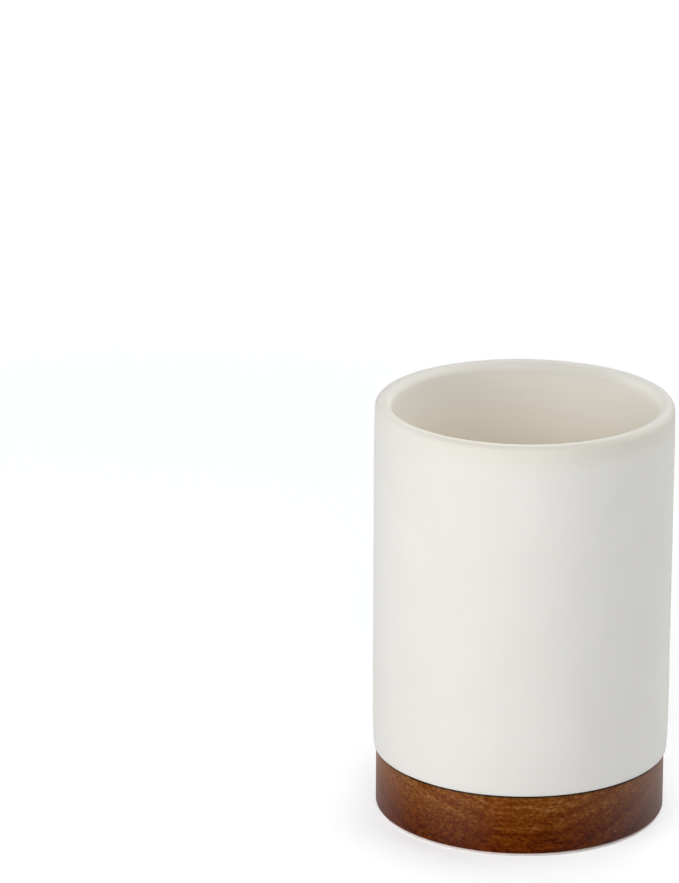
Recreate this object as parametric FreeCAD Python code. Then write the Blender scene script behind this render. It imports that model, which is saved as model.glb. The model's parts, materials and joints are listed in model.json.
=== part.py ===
"""Pen holder cup: a matte cast ceramic tumbler bonded to a turned wooden base with a non-slip pad under it.

Millimetres. +Z is up. The origin is the centre of the pad's underside, on the desk. The wood's grain runs
along X. Every piece is a body of revolution about Z, stacked from the desk upwards: pad, tape, wooden base,
bond, cup.
"""

import FreeCAD, Part
import math
import os

# Driving dimensions
body_diameter = 80.0
total_height = 114.5
wall_thickness = 4.5
floor_thickness = 5.0
floor_fillet = 6.0

# The lip is rounded over its whole width. Its inner quarter takes the rest of the wall's thickness.
lip_outer_round = 2.0

base_diameter = 78.0
base_height = 16.0
base_top_chamfer = 0.15
base_bottom_round = 0.5

pad_diameter = 76.8
pad_thickness = 0.8
tape_diameter = 76.0
tape_thickness = 0.1

# The cup's lower end draws in a little before a small round at its edge.
draw_in = 0.35
draw_in_height = 11.0
bottom_edge_round = 0.5

# A foot ring under the cup locates it in a recess turned in the wooden base.
foot_outer_diameter = 62.0
foot_width = 4.0
foot_height = 2.0
foot_edge_round = 0.4

bond_thickness = 0.5
foot_side_gap = 0.6
seam_groove_depth = 0.25

# Radii and levels worked out from the dimensions above
body_radius = body_diameter / 2
bore_radius = body_radius - wall_thickness
crest_radius = body_radius - lip_outer_round
lip_inner_round = wall_thickness - lip_outer_round
foot_outer_radius = foot_outer_diameter / 2
foot_inner_radius = foot_outer_radius - foot_width
base_radius = base_diameter / 2
recess_radius = foot_outer_radius + foot_side_gap

base_bottom = pad_thickness + tape_thickness
base_top = base_bottom + base_height
recess_floor = base_top - foot_height
cup_underside = base_top + bond_thickness
foot_underside = cup_underside - foot_height
cup_floor = cup_underside + floor_thickness

# How near two lengths are when they count as the same
match_tolerance = 1e-4


def point(radius, height):
    """A point of an outline, in the half-plane that is turned about Z."""
    return FreeCAD.Vector(radius, 0, height)


def polyline(*points):
    """Straight edges from each point to the next."""
    return [Part.makeLine(a, b) for a, b in zip(points, points[1:])]


def arc(start, middle, end):
    """The circular edge through three points."""
    return Part.Arc(start, middle, end).toShape()


def turned(edges):
    """The solid swept by a closed outline in one turn about Z."""
    outline = Part.Wire(Part.__sortEdges__(edges))
    return Part.Face(outline).revolve(point(0, 0), FreeCAD.Vector(0, 0, 1), 360)


def rims(solid, radius, height):
    """The circular edges of a turned solid at this radius and height."""
    return [
        edge
        for edge in solid.Edges
        if isinstance(edge.Curve, Part.Circle)
        and abs(edge.Curve.Radius - radius) < match_tolerance
        and abs(edge.Curve.Center.z - height) < match_tolerance
    ]


def disc(radius, bottom, height):
    return Part.makeCylinder(radius, height, point(0, bottom))


def draw_in_arc():
    """The shallow arc, upright at its top, that narrows the outside towards the cup's lower edge."""
    radius = (draw_in_height**2 + draw_in**2) / (2 * draw_in)
    sweep = math.asin(draw_in_height / radius)
    top = cup_underside + draw_in_height

    def at(angle):
        return point(body_radius - radius * (1 - math.cos(angle)), top - radius * math.sin(angle))

    return arc(at(sweep), at(sweep / 2), at(0))


def lip_quarter(radius, side):
    """The arc from the lip's crest down to one face of the wall. Side is 1 outside and -1 in the bore."""
    centre_height = total_height - radius
    diagonal = radius * math.sqrt(0.5)
    return arc(
        point(crest_radius, total_height),
        point(crest_radius + side * diagonal, centre_height + diagonal),
        point(crest_radius + side * radius, centre_height),
    )


def make_cup_body():
    """The tumbler: straight wall, rounded lip, rounded inner corner and a foot ring under its floor."""
    edge_radius = body_radius - draw_in
    underside = polyline(
        point(0, cup_underside),
        point(foot_inner_radius, cup_underside),
        point(foot_inner_radius, foot_underside),
        point(foot_outer_radius, foot_underside),
        point(foot_outer_radius, cup_underside),
        point(edge_radius, cup_underside),
    )
    outside = polyline(
        point(body_radius, cup_underside + draw_in_height),
        point(body_radius, total_height - lip_outer_round),
    )
    lip = [lip_quarter(lip_outer_round, 1), lip_quarter(lip_inner_round, -1)]
    inside = polyline(
        point(bore_radius, total_height - lip_inner_round),
        point(bore_radius, cup_floor),
        point(0, cup_floor),
        point(0, cup_underside),
    )
    cup = turned(underside + [draw_in_arc()] + outside + lip + inside)
    cup = cup.makeFillet(floor_fillet, rims(cup, bore_radius, cup_floor))
    cup = cup.makeFillet(bottom_edge_round, rims(cup, edge_radius, cup_underside))
    for radius in (foot_inner_radius, foot_outer_radius):
        cup = cup.makeFillet(foot_edge_round, rims(cup, radius, foot_underside))
    return cup


def make_wood_base():
    """The turned disc: a round recess on top for the foot ring, and both its outer edges eased."""
    base = disc(base_radius, base_bottom, base_height)
    base = base.cut(disc(recess_radius, recess_floor, foot_height))
    base = base.makeChamfer(base_top_chamfer, rims(base, base_radius, base_top))
    return base.makeFillet(base_bottom_round, rims(base, base_radius, base_bottom))


def make_bond_ring():
    """The cured adhesive: a film on the base's rim, a collar round the foot ring and a film under it.

    It stops short of the outside, which leaves the narrow groove seen as the seam.
    """
    return turned(
        polyline(
            point(foot_inner_radius, recess_floor),
            point(recess_radius, recess_floor),
            point(recess_radius, base_top),
            point(base_radius - seam_groove_depth, base_top),
            point(base_radius - seam_groove_depth, cup_underside),
            point(foot_outer_radius, cup_underside),
            point(foot_outer_radius, foot_underside),
            point(foot_inner_radius, foot_underside),
            point(foot_inner_radius, recess_floor),
        )
    )


def make_pad_tape():
    """The double-sided film that holds the pad to the wood."""
    return disc(tape_diameter / 2, pad_thickness, tape_thickness)


def make_nonslip_pad():
    """The die-cut foam disc that the cup stands on."""
    return disc(pad_diameter / 2, 0, pad_thickness)


pieces = {
    "cup_body": make_cup_body(),
    "bond_ring": make_bond_ring(),
    "wood_base": make_wood_base(),
    "pad_tape": make_pad_tape(),
    "nonslip_pad": make_nonslip_pad(),
}

os.makedirs("parts", exist_ok=True)
for name, solid in pieces.items():
    solid.exportStep(f"parts/{name}.step")
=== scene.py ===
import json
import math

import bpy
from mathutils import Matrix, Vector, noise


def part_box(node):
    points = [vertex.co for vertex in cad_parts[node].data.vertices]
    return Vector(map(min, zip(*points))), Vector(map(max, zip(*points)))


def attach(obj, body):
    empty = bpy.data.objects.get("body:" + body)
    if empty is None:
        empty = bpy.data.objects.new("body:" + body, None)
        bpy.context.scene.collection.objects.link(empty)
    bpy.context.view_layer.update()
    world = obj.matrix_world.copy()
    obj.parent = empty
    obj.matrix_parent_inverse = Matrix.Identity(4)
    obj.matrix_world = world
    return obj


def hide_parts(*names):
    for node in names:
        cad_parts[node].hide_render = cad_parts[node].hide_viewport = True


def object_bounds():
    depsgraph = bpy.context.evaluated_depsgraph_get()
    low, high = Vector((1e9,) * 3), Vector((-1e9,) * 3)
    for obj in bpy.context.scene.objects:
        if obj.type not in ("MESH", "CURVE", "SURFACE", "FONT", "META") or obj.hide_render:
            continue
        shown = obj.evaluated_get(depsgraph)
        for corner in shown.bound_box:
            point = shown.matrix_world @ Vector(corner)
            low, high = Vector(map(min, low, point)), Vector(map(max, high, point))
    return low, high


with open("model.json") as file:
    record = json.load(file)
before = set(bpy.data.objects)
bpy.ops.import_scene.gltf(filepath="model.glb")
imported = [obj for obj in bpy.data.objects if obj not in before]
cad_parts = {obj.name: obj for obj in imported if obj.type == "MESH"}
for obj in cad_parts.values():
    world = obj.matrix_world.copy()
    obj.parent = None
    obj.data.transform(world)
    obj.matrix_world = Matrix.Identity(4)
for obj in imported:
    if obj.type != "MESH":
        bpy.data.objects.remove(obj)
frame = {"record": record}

# A pen holder cup on a pale studio floor. Every piece is a dense mesh turned about the cup's own axis, and
# placed by the box of the CAD node that it stands for. The cup and its wooden base are uneven by about a
# tenth of a millimetre at most, as hand-finished pieces are. Metres throughout, except inside materials,
# where patterns are laid out in millimetres. +X is to the right, +Y is away from the camera and +Z is up.

MM = 0.001
cad_low, cad_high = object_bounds()

# ----------------------------------------------------------------------------------------------------------
# Sizes that the frame gives, and the details that stand between them
# ----------------------------------------------------------------------------------------------------------

cup_low, cup_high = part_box("cup_body")
base_low, base_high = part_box("wood_base")
bond_low, bond_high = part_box("bond_ring")
tape_low, tape_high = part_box("pad_tape")
pad_low, pad_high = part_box("nonslip_pad")

body_radius = cup_high.x
base_radius = base_high.x
bond_radius = bond_high.x
tape_radius = tape_high.x
pad_radius = pad_high.x
bore_mm = next(m["dims"]["r_mm"] for m in frame["record"]["mounts"] if m["name"] == "cup_bore")
bore_radius = bore_mm * MM

# The lip is rounded over its whole width, and the wall draws in very slightly just below it.
crest_inset = 2.0 * MM
lip_draw_in = 0.2 * MM
lip_draw_in_height = 15.0 * MM
crest_radius = body_radius - crest_inset
lip_radius = body_radius - lip_draw_in
lip_outer_round = lip_radius - crest_radius
lip_inner_round = crest_radius - bore_radius
round_base = cup_high.z - lip_outer_round
bore_top = cup_high.z - lip_inner_round
shoulder = cup_high.z - lip_draw_in_height

# The cup's floor, its foot ring and its lower end, which draws in before a small round at its edge
underside = bond_high.z
floor_thickness = 5.0 * MM
floor_height = underside + floor_thickness
floor_fillet = 6.0 * MM
bottom_round = 0.5 * MM
draw_in = 0.35 * MM
draw_in_height = 11.0 * MM
inner_foot, outer_foot = 27.0 * MM, 31.0 * MM
foot_bottom = cup_low.z
foot_round = 0.4 * MM

# The wooden base, the film and the pad
recess_radius = 31.6 * MM
top_ease = 0.15 * MM
base_round = 0.5 * MM
film_round = 0.02 * MM
pad_round = 0.25 * MM

# The adhesive's outer edge wanders in and out by this much, over about this length.
edge_wander = 0.08 * MM
wander_length = 3 * MM

# The studio. The floor's glow rises to plain white between two distances from the cup, in millimetres.
floor_radius = 20.0
floor_corners = 64
floor_glow = 0.41
fade_range = (300, 1300)
softbox_size = 0.9
softbox_distance = 1.3

# Each softbox's name, azimuth, elevation and power. Azimuth 0 is on the camera's side and 90 is on the right.
cup_lights = (
    ("key_front_left", -52, 10, 9.8),
    ("front", 0, 35, 6.6),
    ("right", 90, 35, 4.8),
    ("back_right", 135, 35, 8.3),
    ("back_left", -135, 35, 6.1),
)
floor_lights = (
    ("floor_front_left", -45, 30, 5.2),
    ("floor_front", 0, 30, 6.4),
    ("floor_right", 90, 60, 3.8),
    ("floor_back", 180, 60, 5.6),
)

# A turned mesh has this many flat sides, and an outline point nearer the axis than ON_AXIS is on it.
TURN = 2 * math.pi
SEGMENTS = 320
ON_AXIS = 1e-7


# ----------------------------------------------------------------------------------------------------------
# Turned meshes. An outline is a list of points, each a radius and a height.
# ----------------------------------------------------------------------------------------------------------

def run(start, end, step):
    """Evenly spaced outline points, at most a step apart, from start up to, and not including, end."""
    count = max(1, math.ceil(math.dist(start, end) / step))
    return [
        (start[0] + (end[0] - start[0]) * i / count, start[1] + (end[1] - start[1]) * i / count)
        for i in range(count)
    ]


def bend(centre, radius, start, end, count):
    """Outline points on an arc, from angle start up to, and not including, angle end, in degrees."""
    points = []
    for i in range(count):
        angle = math.radians(start + (end - start) * i / count)
        points.append((centre[0] + radius * math.cos(angle), centre[1] + radius * math.sin(angle)))
    return points


def draw(height, amount):
    """Radius and sweep, in degrees, of the shallow arc that moves in by an amount over a height."""
    radius = (height**2 + amount**2) / (2 * amount)
    return radius, math.degrees(math.asin(height / radius))


def turned(name, outline):
    """A mesh turned about Z from an outline that starts and ends on the axis, or else closes on itself."""
    vertices = []
    rings = []
    for radius, height in outline:
        if radius < ON_AXIS:
            rings.append([len(vertices)] * SEGMENTS)
            vertices.append((0.0, 0.0, height))
            continue
        rings.append(list(range(len(vertices), len(vertices) + SEGMENTS)))
        for i in range(SEGMENTS):
            angle = TURN * i / SEGMENTS
            vertices.append((radius * math.cos(angle), radius * math.sin(angle), height))
    closes = outline[0][0] > ON_AXIS
    pairs = list(zip(rings, rings[1:])) + ([(rings[-1], rings[0])] if closes else [])
    faces = []
    for lower, upper in pairs:
        for i in range(SEGMENTS):
            j = (i + 1) % SEGMENTS
            corners = [lower[i], lower[j], upper[j], upper[i]]
            faces.append(list(dict.fromkeys(corners)))
    mesh = bpy.data.meshes.new(name)
    mesh.from_pydata(vertices, [], faces)
    mesh.shade_smooth()
    piece = bpy.data.objects.new(name, mesh)
    bpy.context.scene.collection.objects.link(piece)
    return piece


def uneven(piece, amount, length, seed):
    """Pushes each vertex along its normal by a smooth amount, in waves of about the given length.

    Each seed picks its own part of the noise.
    """
    offset = Vector((seed * 17.3, seed * 5.7, seed * 11.1))
    normals = [v.normal.copy() for v in piece.data.vertices]
    for vertex, normal in zip(piece.data.vertices, normals):
        vertex.co += normal * (amount * noise.noise(vertex.co / length + offset))
    piece.data.update()


def cup_underside():
    """From the underside's centre out to the edge of the wall, with the foot ring standing proud."""
    inner_side, outer_side = inner_foot + foot_round, outer_foot - foot_round
    round_level = foot_bottom + foot_round
    edge = body_radius - draw_in - bottom_round
    outline = run((0, underside), (inner_foot, underside), 4 * MM)
    outline += run((inner_foot, underside), (inner_foot, round_level), 0.8 * MM)
    outline += bend((inner_side, round_level), foot_round, 180, 270, 4)
    outline += run((inner_side, foot_bottom), (outer_side, foot_bottom), 1.6 * MM)
    outline += bend((outer_side, round_level), foot_round, 270, 360, 4)
    outline += run((outer_foot, round_level), (outer_foot, underside), 0.8 * MM)
    outline += run((outer_foot, underside), (edge, underside), 2 * MM)
    outline += bend((edge, underside + bottom_round), bottom_round, 270, 358, 7)
    return outline


def cup_outside():
    """From the lower edge up to the lip: the lower end draws in, and so does the wall just below the lip."""
    top = underside + draw_in_height
    radius, sweep = draw(draw_in_height, draw_in)
    start = sweep * (bottom_round / draw_in_height - 1)
    outline = bend((body_radius - radius, top), radius, start, 0, 10)
    outline += run((body_radius, top), (body_radius, shoulder), 1.6 * MM)
    radius, sweep = draw(round_base - shoulder, body_radius - lip_radius)
    outline += bend((body_radius - radius, shoulder), radius, 0, sweep, 10)
    return outline


def cup_lip():
    """Over the lip, from the outside of the wall to the bore."""
    outline = bend((crest_radius, round_base), lip_outer_round, 0, 90, 14)
    outline += bend((crest_radius, bore_top), lip_inner_round, 90, 180, 16)
    return outline


def cup_inside():
    """From the lip down the bore and in to the centre of the cup's floor."""
    corner_radius, corner_height = bore_radius - floor_fillet, floor_height + floor_fillet
    outline = run((bore_radius, bore_top), (bore_radius, corner_height), 2 * MM)
    outline += bend((corner_radius, corner_height), floor_fillet, 0, -90, 12)
    outline += run((corner_radius, floor_height), (0, floor_height), 3 * MM)
    outline += [(0, floor_height)]
    return outline


def make_cup():
    """The ceramic tumbler, drawn from its underside's centre outwards, up the outside and down the inside."""
    cup = turned("ceramic_cup", cup_underside() + cup_outside() + cup_lip() + cup_inside())
    uneven(cup, 0.09 * MM, 34 * MM, 1)
    uneven(cup, 0.03 * MM, 9 * MM, 2)
    return cup


def make_base():
    """The turned wooden disc, drawn from its underside's centre outwards, up its side and into its recess."""
    bottom, top = base_low.z, base_high.z
    recess_floor = bond_low.z
    outline = run((0, bottom), (base_radius - base_round, bottom), 4 * MM)
    outline += bend((base_radius - base_round, bottom + base_round), base_round, -90, 0, 6)
    outline += run((base_radius, bottom + base_round), (base_radius, top - top_ease), 0.7 * MM)
    outline += bend((base_radius - top_ease, top - top_ease), top_ease, 0, 90, 4)
    outline += run((base_radius - top_ease, top), (recess_radius, top), 1.5 * MM)
    outline += run((recess_radius, top), (recess_radius, recess_floor), 1 * MM)
    outline += run((recess_radius, recess_floor), (0, recess_floor), 4 * MM)
    outline += [(0, recess_floor)]
    base = turned("wooden_base", outline)
    uneven(base, 0.03 * MM, 14 * MM, 3)
    uneven(base, 0.008 * MM, 2.5 * MM, 4)
    return base


def make_bond():
    """The cured adhesive: a film on the base's rim, a collar round the foot ring and a film under it."""
    low, high = bond_low.z, bond_high.z
    rim = base_high.z
    outline = run((inner_foot, low), (recess_radius, low), 1.5 * MM)
    outline += run((recess_radius, low), (recess_radius, rim), 1 * MM)
    outline += run((recess_radius, rim), (bond_radius, rim), 1.5 * MM)
    outline += run((bond_radius, rim), (bond_radius, high), 0.1 * MM)
    outline += run((bond_radius, high), (outer_foot, high), 1.5 * MM)
    outline += run((outer_foot, high), (outer_foot, foot_bottom), 1 * MM)
    outline += run((outer_foot, foot_bottom), (inner_foot, foot_bottom), 1.5 * MM)
    outline += run((inner_foot, foot_bottom), (inner_foot, low), 0.3 * MM)
    bond = turned("adhesive_ring", outline)
    for vertex in bond.data.vertices:
        level = Vector((vertex.co.x, vertex.co.y, 0))
        share = max(0.0, level.length - recess_radius) / (bond_radius - recess_radius)
        vertex.co += level.normalized() * (edge_wander * share * noise.noise(level / wander_length))
    bond.data.update()
    return bond


def make_sheet(name, radius, low, high, edge_round):
    """A thin round sheet with softened edges."""
    outline = run((0, low), (radius - edge_round, low), 2 * MM)
    outline += bend((radius - edge_round, low + edge_round), edge_round, -90, 0, 5)
    outline += run((radius, low + edge_round), (radius, high - edge_round), 0.2 * MM)
    outline += bend((radius - edge_round, high - edge_round), edge_round, 0, 90, 5)
    outline += run((radius - edge_round, high), (0, high), 4 * MM)
    outline += [(0, high)]
    return turned(name, outline)


# ----------------------------------------------------------------------------------------------------------
# Materials
# ----------------------------------------------------------------------------------------------------------

class Shader:
    """A material's node tree, with short calls that add a node and return its output socket."""

    def __init__(self, name):
        self.material = bpy.data.materials.new(name)
        self.material.use_nodes = True
        self.tree = self.material.node_tree
        self.surface = self.tree.nodes["Principled BSDF"]
        place = self.node("TexCoord").outputs["Object"]
        self.place = self.stretched(place, (1000, 1000, 1000))

    def node(self, kind, inputs=(), **settings):
        made = self.tree.nodes.new("ShaderNode" + kind)
        for key, value in settings.items():
            setattr(made, key, value)
        for key, value in dict(inputs).items():
            self.feed(made.inputs[key], value)
        return made

    def feed(self, socket, value):
        """Links the socket to another one, or sets it to a plain value."""
        if isinstance(value, bpy.types.NodeSocket):
            self.tree.links.new(value, socket)
        else:
            socket.default_value = value

    def surface_inputs(self, **inputs):
        """Feeds the surface's inputs. An underscore stands for a space in an input's name."""
        for key, value in inputs.items():
            self.feed(self.surface.inputs[key.replace("_", " ")], value)

    def stretched(self, place, factors):
        return self.node("VectorMath", {0: place, 1: factors}, operation="MULTIPLY").outputs[0]

    def moved(self, place, offset):
        return self.node("VectorMath", {0: place, 1: offset}, operation="ADD").outputs[0]

    def length(self, place):
        return self.node("VectorMath", {0: place}, operation="LENGTH").outputs["Value"]

    def distance_to(self, point):
        made = self.node("VectorMath", {0: self.place, 1: point}, operation="DISTANCE")
        return made.outputs["Value"]

    def from_axis(self):
        """Distance from the cup's axis."""
        return self.length(self.stretched(self.place, (1, 1, 0)))

    def coordinates(self):
        """Place to the right, place away from the camera, and height."""
        return self.node("SeparateXYZ", {0: self.place}).outputs

    def math(self, operation, a, b=0.0, c=0.0):
        return self.node("Math", {0: a, 1: b, 2: c}, operation=operation).outputs[0]

    def noise(self, place, scale, detail=2.0, roughness=0.5):
        inputs = {"Vector": place, "Scale": scale, "Detail": detail, "Roughness": roughness}
        return self.node("TexNoise", inputs).outputs["Fac"]

    def warp(self, place, scale, amount):
        """The place, pushed about by noise."""
        inputs = {"Vector": place, "Scale": scale, "Detail": 2.0}
        colour = self.node("TexNoise", inputs).outputs["Color"]
        centred = self.moved(colour, (-0.5, -0.5, -0.5))
        return self.moved(place, self.stretched(centred, (amount, amount, amount)))

    def cells(self, place, scale):
        """Distance to the nearest of many scattered points, and that point's random colour."""
        made = self.node("TexVoronoi", {"Vector": place, "Scale": scale})
        return made.outputs["Distance"], made.outputs["Color"]

    def between(self, value, low, high, to_low=0.0, to_high=1.0):
        """Value carried smoothly from the range low to high onto the range to_low to to_high."""
        inputs = {"Value": value, 1: low, 2: high, 3: to_low, 4: to_high}
        return self.node("MapRange", inputs, interpolation_type="SMOOTHSTEP").outputs[0]

    def mix(self, share, a, b, blend="MIX"):
        inputs = {0: share, 6: a, 7: b}
        return self.node("Mix", inputs, data_type="RGBA", blend_type=blend).outputs[2]

    def ramp(self, value, stops):
        """A colour that runs through the stops, each a position from 0 to 1 and a colour."""
        made = self.node("ValToRGB", {"Fac": value})
        elements = made.color_ramp.elements
        elements[0].position, elements[0].color = stops[0]
        elements[1].position, elements[1].color = stops[-1]
        for position, colour in stops[1:-1]:
            elements.new(position).color = colour
        return made.outputs["Color"]

    def bump(self, height, depth, normal=None):
        """Height from 0 to 1 stands for a depth in millimetres."""
        made = self.node("Bump", {"Height": height, "Distance": depth * MM})
        if normal is not None:
            self.feed(made.inputs["Normal"], normal)
        return made.outputs["Normal"]


def lip_light_and_shade(s, tone):
    """Adds the lip's painted light and shade.

    A warmer painted shade towards its top, stronger to the right; painted light on the crest that turns
    to painted shade at the back; and a painted highlight on the crest at the front left.
    """
    top, crest = cup_high.z / MM, crest_radius / MM
    aside, back, height = s.coordinates()
    radius = s.from_axis()
    # Painted shade: a warm darkening near the top, stronger to the right.
    warm = s.mix(s.between(aside, -5, 20), (0.98, 0.955, 0.9, 1), (0.93, 0.915, 0.87, 1))
    near_top = s.between(height, top - 9, top - 1)
    warmth = s.math("MULTIPLY", near_top, s.between(aside, -42, -5, 0.35, 1.0))
    tone = s.mix(warmth, tone, warm, "MULTIPLY")
    # Painted light on the front of the crest, turning to painted shade at the back.
    crest_light_and_shade = s.mix(s.between(back, -8, 25), (0.9, 0.878, 0.82, 1), (0.85, 0.833, 0.78, 1))
    tone = s.mix(s.between(radius, crest + 1.2, crest + 0.2), tone, crest_light_and_shade)
    # A painted highlight along the crest at the front left.
    lip_highlight_centre = s.distance_to((-18, -33, top))
    pale = s.math("MULTIPLY", s.between(radius, crest + 0.9, crest + 0.5), s.between(lip_highlight_centre, 50, 10))
    return s.mix(pale, tone, (1.0, 0.97, 0.87, 1))


def bore_light_and_shade(s, tone):
    """Adds the bore's painted light and shade: a beige that is stronger to the left and further down, as
    painted bounce light and shade, and a band of painted light and shade inside the lip.

    The band is palest at both sides, and most of all at a painted highlight on the left.
    """
    top, bore = cup_high.z / MM, bore_radius / MM
    aside, _, height = s.coordinates()
    # Painted bounce light and shade: the beige grows stronger to the left and further down.
    shallow = s.mix(s.between(aside, -20, 25), (0.875, 0.848, 0.778, 1), (0.855, 0.833, 0.772, 1))
    deep = s.mix(s.between(aside, -25, 25), (0.89, 0.825, 0.712, 1), (0.915, 0.872, 0.785, 1))
    inner_tone = s.mix(s.between(height, top - 4, top - 22), shallow, deep)
    # A band of painted light and shade inside the lip: pale at the left and far right, darker between.
    band = s.mix(s.between(aside, -20, 18), (0.88, 0.86, 0.797, 1), (0.8, 0.78, 0.722, 1))
    band = s.mix(s.between(aside, 20, 33), band, (0.9, 0.885, 0.825, 1))
    # A painted highlight on the band at the left.
    bore_highlight_centre = s.distance_to((-37, -3, top))
    band = s.mix(s.between(bore_highlight_centre, 15, 4), band, (0.96, 0.94, 0.87, 1))
    inner_tone = s.mix(s.between(height, top - 5, top - 1.5), inner_tone, band)
    return s.mix(s.between(s.from_axis(), bore + 1.5, bore + 0.3), tone, inner_tone)


def ceramic():
    """Matte cast ceramic: warm off-white and faintly pebbled.

    The lip and the bore get painted light and shade.
    """
    s = Shader("ceramic")
    pebble_place = s.warp(s.stretched(s.place, (1, 1, 0.6)), 0.5, 0.8)
    pebbles = s.noise(pebble_place, 0.62, 2.0, 0.45)
    streaks = s.noise(s.stretched(s.place, (1, 1, 0.06)), 0.55, 3.0)
    clouds = s.noise(s.place, 0.045, 3.0)
    grit = s.noise(s.place, 4.0, 2.0)
    tone = s.mix(s.between(clouds, 0.3, 0.7), (0.85, 0.833, 0.789, 1), (0.87, 0.853, 0.809, 1))
    tone = s.mix(s.between(streaks, 0.35, 0.75, 0.0, 0.1), tone, (0.82, 0.798, 0.757, 1))
    tone = bore_light_and_shade(s, lip_light_and_shade(s, tone))
    normal = s.bump(pebbles, 0.035)
    normal = s.bump(streaks, 0.008, normal)
    normal = s.bump(grit, 0.004, normal)
    s.surface_inputs(Base_Color=tone, Roughness=s.between(pebbles, 0.3, 0.7, 0.52, 0.6), Normal=normal)
    s.surface_inputs(Specular_IOR_Level=0.4)
    return s.material


def wood_grain(s):
    """Flecks, pores, and the level of the grain's tone, which rises with height as painted light and shade:
    darker low down, lighter towards the top.

    Fibres and pores run along X. The growth rings go round a pith that runs along X too, below the cup.
    """
    place = s.warp(s.place, 0.06, 2.5)
    flecks = s.noise(s.stretched(place, (0.5, 1, 1)), 1.5, 3.0, 0.65)
    fibres = s.noise(s.stretched(place, (0.05, 1, 1)), 1.1, 3.0, 0.6)
    aside, _, height = s.coordinates()
    from_pith = s.length(s.moved(s.stretched(place, (0, 1, 1)), (0, -12, 60)))
    ring_place = s.node("CombineXYZ", {0: s.math("MULTIPLY", aside, 0.03), 1: from_pith}).outputs[0]
    rings = s.noise(ring_place, 0.5, 3.0, 0.6)
    patches = s.noise(s.stretched(place, (0.35, 1, 1)), 0.13, 2.0)
    pore_distance, _ = s.cells(s.stretched(place, (0.2, 1, 1)), 1.9)
    pores = s.between(pore_distance, 0.32, 0.12)
    # Painted light and shade: darker low down near the floor, lighter towards the top.
    grain = s.between(height, base_low.z / MM, base_high.z / MM, 0.21, 0.67)
    for pattern, share in ((flecks, 1.5), (fibres, 1.0), (rings, 0.9), (patches, 0.15)):
        grain = s.math("MULTIPLY_ADD", s.math("SUBTRACT", pattern, 0.5), share, grain)
    return flecks, pores, s.math("MULTIPLY_ADD", pores, -0.22, grain)


def wood_tone(s, grain):
    """The stained colour, with redder patches and a few specks.

    It has painted shade too: darker and cooler to the right, and a painted shadow along the top edge under
    the cup.
    """
    tone = s.ramp(grain, (
        (0.0, (0.06, 0.008, 0.0005, 1)),
        (0.25, (0.12, 0.0205, 0.0009, 1)),
        (0.5, (0.162, 0.04, 0.0026, 1)),
        (0.75, (0.225, 0.073, 0.012, 1)),
        (1.0, (0.32, 0.135, 0.04, 1)),
    ))
    top = base_high.z / MM
    aside, _, height = s.coordinates()
    reds = s.noise(s.stretched(s.place, (0.6, 1, 1)), 0.22, 2.0)
    tone = s.mix(s.between(reds, 0.42, 0.62, 0.0, 0.35), tone, (1.0, 0.75, 0.7, 1), "MULTIPLY")
    # Painted shade: darker and cooler towards the right side.
    tone = s.mix(s.between(aside, 4, 30), tone, (0.84, 0.88, 0.94, 1), "MULTIPLY")
    # Painted shadow along the top edge, where the cup's lower edge overhangs the wood.
    tone = s.mix(s.between(height, top - 0.5, top - 0.1), tone, (0.62, 0.75, 0.95, 1), "MULTIPLY")
    speck_distance, speck_colour = s.cells(s.place, 0.3)
    chosen = s.math("GREATER_THAN", speck_colour, 0.76)
    specks = s.math("MULTIPLY", s.between(speck_distance, 0.12, 0.04), chosen)
    return s.mix(s.math("MULTIPLY", specks, 0.5), tone, (0.5, 0.3, 0.2, 1))


def wood_sheen(s):
    """The lacquer's shine: more at a glancing angle, to the right, and at one spot at the front left."""
    aside, _, _ = s.coordinates()
    facing = s.node("LayerWeight", {"Blend": 0.5}).outputs["Facing"]
    sheen = s.between(facing, 0.2, 0.75, 0.03, 0.42)
    sheen = s.math("ADD", sheen, s.between(facing, 0.7, 0.95, 0.0, 0.6))
    sheen = s.math("ADD", sheen, s.between(aside, 2, 32, 0.0, 0.3))
    gloss_spot = s.distance_to((-18, -34, 9))
    return s.math("ADD", sheen, s.between(gloss_spot, 15, 4, 0.0, 0.18))


def stained_wood():
    """Dark stained hardwood under satin lacquer. Its fibres run along X, so +X and -X show end grain."""
    s = Shader("stained_wood")
    flecks, pores, grain = wood_grain(s)
    normal = s.bump(s.math("SUBTRACT", 1.0, pores), 0.03)
    normal = s.bump(flecks, 0.02, normal)
    roughness = s.between(flecks, 0.3, 0.7, 0.36, 0.5)
    s.surface_inputs(Base_Color=wood_tone(s, grain), Roughness=roughness, Normal=normal)
    s.surface_inputs(Specular_IOR_Level=wood_sheen(s))
    return s.material


def adhesive():
    """Cured adhesive, near black brown, with a slightly lumpy skin."""
    s = Shader("adhesive")
    lumps = s.noise(s.place, 1.6, 3.0)
    tone = s.mix(s.between(lumps, 0.3, 0.7), (0.008, 0.005, 0.003, 1), (0.02, 0.012, 0.008, 1))
    roughness = s.between(lumps, 0.3, 0.7, 0.5, 0.7)
    s.surface_inputs(Base_Color=tone, Roughness=roughness, Normal=s.bump(lumps, 0.05))
    s.surface_inputs(Specular_IOR_Level=0.15)
    return s.material


def film():
    """Double-sided mounting film: milky, with fine wrinkles."""
    s = Shader("mounting_film")
    wrinkles = s.noise(s.stretched(s.place, (0.4, 1, 1)), 1.2, 3.0)
    tone = s.mix(wrinkles, (0.6, 0.54, 0.48, 1), (0.74, 0.69, 0.63, 1))
    s.surface_inputs(Base_Color=tone, Roughness=s.between(wrinkles, 0.3, 0.7, 0.35, 0.5))
    s.surface_inputs(Normal=s.bump(wrinkles, 0.01))
    return s.material


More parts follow.
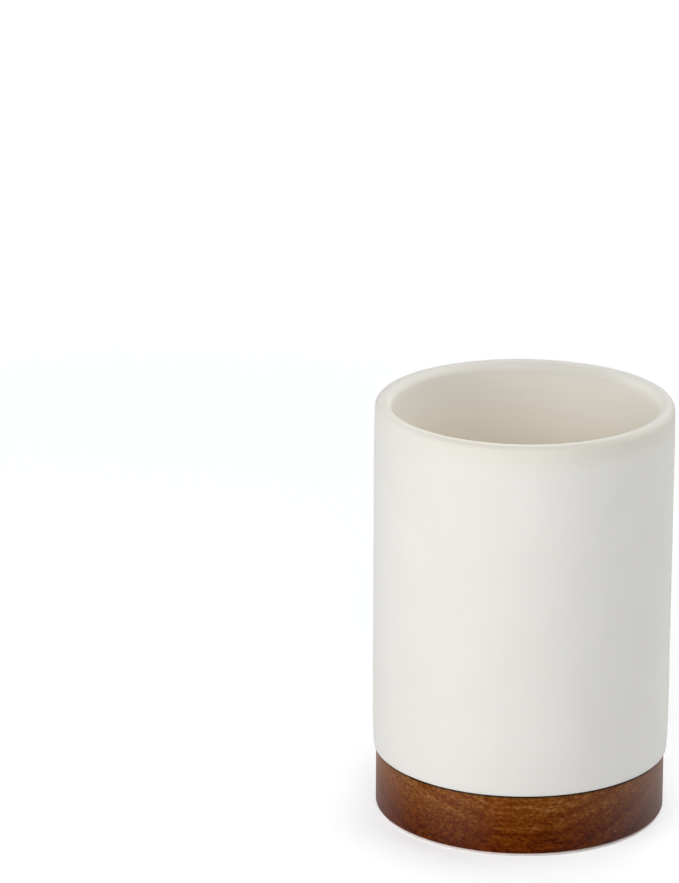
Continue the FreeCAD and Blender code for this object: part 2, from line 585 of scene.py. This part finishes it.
def foam():
    """Closed-cell foam: pale pinkish beige, with the fine pits of its cut cells and painted shade in them."""
    s = Shader("pad_foam")
    distance, _ = s.cells(s.place, 4.0)
    filled = s.between(distance, 0.1, 0.5)
    clouds = s.noise(s.place, 0.12, 2.0)
    tone = s.mix(s.between(clouds, 0.3, 0.7), (0.93, 0.83, 0.79, 1), (0.96, 0.88, 0.84, 1))
    # Painted shade in the pits of the cut cells.
    pits = s.math("MULTIPLY", s.math("SUBTRACT", 1.0, filled), 0.35)
    tone = s.mix(pits, tone, (0.7, 0.58, 0.55, 1))
    roughness = s.between(filled, 0.0, 1.0, 0.9, 0.75)
    s.surface_inputs(Base_Color=tone, Roughness=roughness, Normal=s.bump(filled, 0.05))
    return s.material


def pale_floor():
    """A pale sweep that the camera sees brighter than it is, fading to plain white away from the cup."""
    s = Shader("pale_floor")
    haze = s.noise(s.place, 0.004, 2.0)
    tone = s.mix(haze, (0.915, 0.933, 0.946, 1), (0.935, 0.953, 0.966, 1))
    seen = s.node("LightPath").outputs["Is Camera Ray"]
    glow = s.math("MULTIPLY", seen, s.between(s.length(s.place), *fade_range, floor_glow, 1.0))
    s.surface_inputs(Base_Color=tone, Roughness=0.9, Specular_IOR_Level=0.1)
    s.surface_inputs(Emission_Color=(1, 1, 1, 1), Emission_Strength=glow)
    return s.material


# ----------------------------------------------------------------------------------------------------------
# Stage, light and camera
# ----------------------------------------------------------------------------------------------------------

def make_floor():
    """The flat disc that the cup stands on."""
    angles = [TURN * i / floor_corners for i in range(floor_corners)]
    corners = [(floor_radius * math.cos(a), floor_radius * math.sin(a), cad_low.z) for a in angles]
    mesh = bpy.data.meshes.new("studio_floor")
    mesh.from_pydata(corners, [], [list(range(floor_corners))])
    floor = bpy.data.objects.new("studio_floor", mesh)
    bpy.context.scene.collection.objects.link(floor)
    mesh.materials.append(pale_floor())
    return floor


def make_softbox(name, group, azimuth, elevation, power):
    """A square area light that faces the cup and lights only the pieces in a group."""
    a, e = math.radians(azimuth), math.radians(elevation)
    aim = (cad_low + cad_high) / 2
    back = Vector((math.sin(a) * math.cos(e), -math.cos(a) * math.cos(e), math.sin(e)))
    light = bpy.data.lights.new(name, "AREA")
    light.shape = "SQUARE"
    light.size = softbox_size
    light.energy = power
    box = bpy.data.objects.new(name, light)
    bpy.context.scene.collection.objects.link(box)
    box.location = aim + back * softbox_distance
    box.rotation_euler = back.to_track_quat("Z", "Y").to_euler()
    box.visible_camera = False
    box.light_linking.receiver_collection = group


def light_up(group_name, pieces, lights):
    """Softboxes that light these pieces and nothing else."""
    group = bpy.data.collections.new(group_name)
    for piece in pieces:
        group.objects.link(piece)
    for name, azimuth, elevation, power in lights:
        make_softbox(name, group, azimuth, elevation, power)


def make_world():
    """White where the camera looks past the floor, and dark for everything else."""
    world = bpy.data.worlds.new("studio")
    bpy.context.scene.world = world
    world.use_nodes = True
    tree = world.node_tree
    seen = tree.nodes.new("ShaderNodeLightPath").outputs["Is Camera Ray"]
    background = tree.nodes["Background"]
    background.inputs["Color"].default_value = (1.0, 1.0, 1.0, 1)
    tree.links.new(seen, background.inputs["Strength"])


def make_camera():
    """A long lens, to the left of the cup's axis and looking down on it, turned and rolled a little."""
    aside, back, height = -0.0446, 1.225, 0.4982 + cad_low.z
    yaw, pitch, roll = math.radians(0.214), math.radians(17.884), math.radians(0.18)
    data = bpy.data.cameras.new("camera")
    data.sensor_width = 36.0
    data.lens = 197.3
    data.clip_end = 100.0
    camera = bpy.data.objects.new("camera", data)
    bpy.context.scene.collection.objects.link(camera)
    tilt = Matrix.Rotation(math.pi / 2 - pitch, 4, "X")
    turn = Matrix.Rotation(yaw, 4, "Z") @ tilt @ Matrix.Rotation(roll, 4, "Z")
    camera.matrix_world = Matrix.Translation((aside, -back, height)) @ turn
    bpy.context.scene.camera = camera


# ----------------------------------------------------------------------------------------------------------
# The scene
# ----------------------------------------------------------------------------------------------------------

def dress(piece, material, node):
    """Gives a piece its material, and has it stand for a CAD node."""
    piece.data.materials.append(material)
    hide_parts(node)
    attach(piece, "root")
    return piece


film_sheet = make_sheet("mounting_film", tape_radius, tape_low.z, tape_high.z, film_round)
grip_sheet = make_sheet("grip_pad", pad_radius, pad_low.z, pad_high.z, pad_round)
cup_pieces = [
    dress(make_cup(), ceramic(), "cup_body"),
    dress(make_bond(), adhesive(), "bond_ring"),
    dress(make_base(), stained_wood(), "wood_base"),
    dress(film_sheet, film(), "pad_tape"),
    dress(grip_sheet, foam(), "nonslip_pad"),
]

floor = make_floor()
make_world()
light_up("cup_group", cup_pieces, cup_lights)
light_up("floor_group", [floor], floor_lights)
make_camera()
bpy.context.scene.view_settings.view_transform = "Standard"
